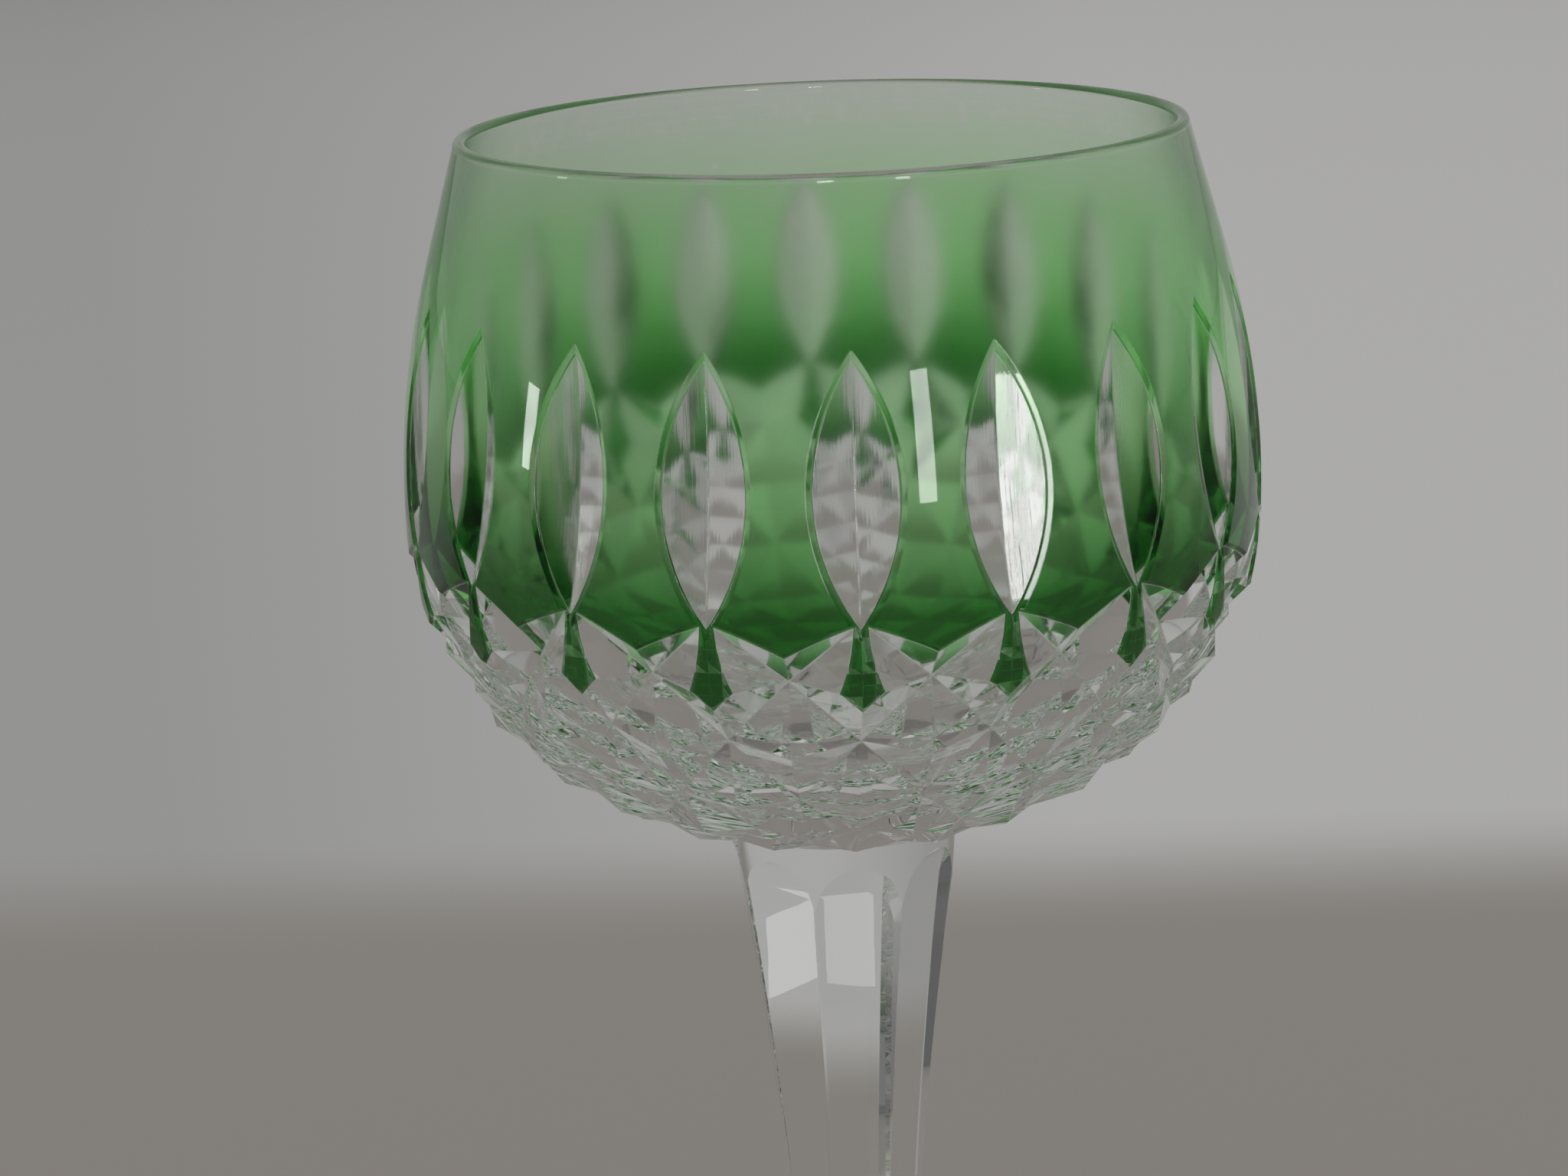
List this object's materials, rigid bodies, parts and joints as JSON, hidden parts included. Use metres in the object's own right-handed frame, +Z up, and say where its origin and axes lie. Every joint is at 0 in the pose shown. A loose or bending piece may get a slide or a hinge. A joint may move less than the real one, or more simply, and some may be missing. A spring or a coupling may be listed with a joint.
{
  "type": "roemer wine glass",
  "caption": "Stemmed roemer wine glass: bowl cased in green and cut through to clear crystal with pointed lenses and diamonds, panel-cut stem and round foot.",
  "frame": {"origin": "centre of the circle on which the foot stands, on the table", "axes": "+Z up along the axis of the glass, -Y towards one of the lens cuts"},
  "size_m": [0.0784, 0.0784, 0.195],
  "materials": {
    "crystal": "polished clear lead crystal",
    "green_glass": "polished transparent emerald green casing"
  },
  "bodies": {
    "root": {"crystal_bowl": "crystal", "green_overlay": "green_glass", "overlay_darts": "green_glass", "stem": "crystal", "foot": "crystal"}
  },
  "joints": []
}
